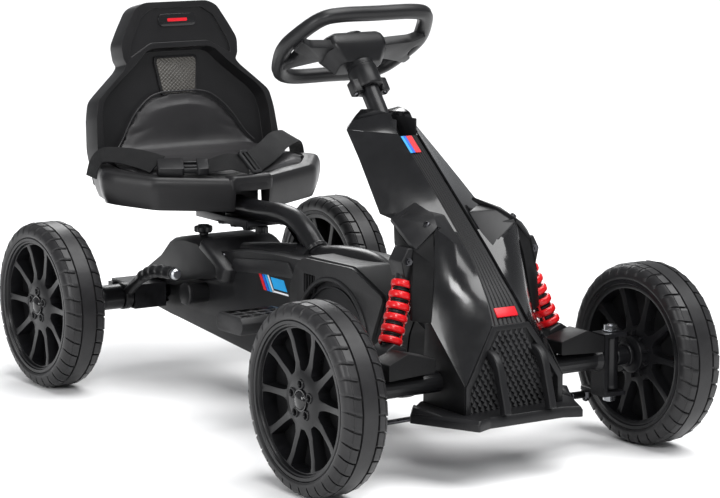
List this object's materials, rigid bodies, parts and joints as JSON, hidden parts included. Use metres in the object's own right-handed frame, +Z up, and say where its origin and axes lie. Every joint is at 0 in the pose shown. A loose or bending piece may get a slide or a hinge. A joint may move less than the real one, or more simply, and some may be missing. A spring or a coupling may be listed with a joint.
{
  "type": "pedal go kart",
  "caption": "Child-size pedal kart: chain drive, steered front axle, faceted front fairing, bucket seat with lap belt on a sliding clamp, foam tyres and a hand brake.",
  "frame": {"origin": "on the ground under the middle of the kart, midway between the axles", "axes": "+X to the driver's left, -Y to the front of the kart, +Z up"},
  "size_m": [0.6106, 1.026, 0.6055],
  "materials": {
    "black_plastic": "fine grained black moulding",
    "gloss_shell": "gloss black moulding",
    "tyre_foam": "matt black moulded foam tyre",
    "grip_rubber": "soft matt black grip",
    "black_paint": "satin black powder coat on steel",
    "zinc_steel": "zinc plated steel",
    "red_plastic": "satin red moulding",
    "cushion_vinyl": "grained black soft cushion",
    "webbing": "woven black webbing"
  },
  "bodies": {
    "chassis": {"front_subframe": "black_paint", "column_bush": "black_plastic", "kingpin_right": "zinc_steel", "kingpin_left": "zinc_steel", "main_frame_tube": "black_paint", "seat_support_tube": "black_paint", "rear_carrier": "black_paint", "rear_axle_housing_right": "black_paint", "rear_axle_housing_left": "black_paint", "chain": "zinc_steel", "chain_case_right": "black_plastic", "chain_case_left": "black_plastic", "rear_cover": "black_plastic", "star_knob": "black_plastic", "fairing_right": "gloss_shell", "fairing_left": "gloss_shell", "fairing_strip": "black_plastic", "ear_plate_right": "black_plastic", "ear_plate_left": "black_plastic", "nose_cowl": "black_plastic", "nose_splitter": "black_plastic", "axle_cover_right": "black_plastic", "axle_cover_left": "black_plastic", "shock_body_right": "black_plastic", "shock_body_left": "black_plastic", "shock_spring_right": "red_plastic", "shock_spring_left": "red_plastic"},
    "steering": {"steering_column": "zinc_steel", "steering_wheel_rim": "grip_rubber", "steering_wheel_pad": "black_plastic", "steering_wheel_collar": "black_paint"},
    "knuckle_right": {"knuckle_right": "black_paint"},
    "knuckle_left": {"knuckle_left": "black_paint"},
    "tie_rod_right": {"tie_rod_right": "zinc_steel"},
    "tie_rod_left": {"tie_rod_left": "zinc_steel"},
    "wheel_front_right": {"tyre_front_right": "tyre_foam", "rim_front_right": "black_plastic", "hub_cap_front_right": "gloss_shell"},
    "wheel_front_left": {"tyre_front_left": "tyre_foam", "rim_front_left": "black_plastic", "hub_cap_front_left": "gloss_shell"},
    "wheel_rear_left": {"tyre_rear_left": "tyre_foam", "rim_rear_left": "black_plastic", "hub_cap_rear_left": "gloss_shell"},
    "rear_axle": {"rear_axle": "zinc_steel", "rear_sprocket": "zinc_steel", "tyre_rear_right": "tyre_foam", "rim_rear_right": "black_plastic", "hub_cap_rear_right": "gloss_shell"},
    "crank": {"crank": "black_paint", "chainring": "zinc_steel"},
    "pedal_right": {"pedal_right": "black_plastic"},
    "pedal_left": {"pedal_left": "black_plastic"},
    "brake_lever": {"brake_lever": "black_plastic"},
    "seat": {"seat_shell": "black_plastic", "seat_cushion": "cushion_vinyl", "seat_clamp": "black_paint", "belt_right": "webbing", "belt_left": "webbing", "belt_buckle": "black_plastic"}
  },
  "joints": [
    {"name": "steering_turn", "type": "hinge", "parent": "chassis", "child": "steering", "pos_m": [0, -0.104, 0.482], "axis": [0, 0.6157, 0.788], "range_deg": [-32, 32]},
    {"name": "kingpin_turn_right", "type": "hinge", "parent": "chassis", "child": "knuckle_right", "pos_m": [-0.21, -0.386, 0.127], "axis": [0, 0, 1], "range_deg": [-28, 28]},
    {"name": "kingpin_turn_left", "type": "hinge", "parent": "chassis", "child": "knuckle_left", "pos_m": [0.21, -0.386, 0.127], "axis": [0, 0, 1], "range_deg": [-28, 28]},
    {"name": "tie_rod_swing_right", "type": "hinge", "parent": "knuckle_right", "child": "tie_rod_right", "pos_m": [-0.206, -0.34, 0.0665], "axis": [0, 0, 1], "range_deg": [-28, 28]},
    {"name": "tie_rod_swing_left", "type": "hinge", "parent": "knuckle_left", "child": "tie_rod_left", "pos_m": [0.206, -0.34, 0.0665], "axis": [0, 0, 1], "range_deg": [-28, 28]},
    {"name": "front_right_wheel_spin", "type": "hinge", "parent": "knuckle_right", "child": "wheel_front_right", "pos_m": [-0.273, -0.386, 0.127], "axis": [1, 0, 0], "continuous": true},
    {"name": "front_left_wheel_spin", "type": "hinge", "parent": "knuckle_left", "child": "wheel_front_left", "pos_m": [0.273, -0.386, 0.127], "axis": [1, 0, 0], "continuous": true},
    {"name": "rear_left_wheel_spin", "type": "hinge", "parent": "chassis", "child": "wheel_rear_left", "pos_m": [0.26, 0.386, 0.127], "axis": [1, 0, 0], "continuous": true},
    {"name": "rear_axle_spin", "type": "hinge", "parent": "chassis", "child": "rear_axle", "pos_m": [-0.26, 0.386, 0.127], "axis": [1, 0, 0], "continuous": true},
    {"name": "crank_spin", "type": "hinge", "parent": "chassis", "child": "crank", "pos_m": [0, -0.105, 0.13], "axis": [1, 0, 0], "continuous": true},
    {"name": "pedal_right_spin", "type": "hinge", "parent": "crank", "child": "pedal_right", "pos_m": [-0.138, -0.02031, 0.15391], "axis": [1, 0, 0], "continuous": true},
    {"name": "pedal_left_spin", "type": "hinge", "parent": "crank", "child": "pedal_left", "pos_m": [0.138, -0.18969, 0.10609], "axis": [1, 0, 0], "continuous": true},
    {"name": "brake_lever_pull", "type": "hinge", "parent": "chassis", "child": "brake_lever", "pos_m": [-0.132, 0.386, 0.127], "axis": [-1, 0, 0], "range_deg": [0, 30]},
    {"name": "seat_slide", "type": "slide", "parent": "chassis", "child": "seat", "axis": [0, 1, 0], "range_m": [-0.03, 0.03]}
  ],
  "couplings": [
    {"joint": "kingpin_turn_right", "follows": "steering_turn", "ratio": 0.8},
    {"joint": "kingpin_turn_left", "follows": "steering_turn", "ratio": 0.8},
    {"joint": "tie_rod_swing_right", "follows": "steering_turn", "ratio": -0.8},
    {"joint": "tie_rod_swing_left", "follows": "steering_turn", "ratio": -0.8},
    {"joint": "crank_spin", "follows": "rear_axle_spin", "ratio": 0.42857}
  ]
}
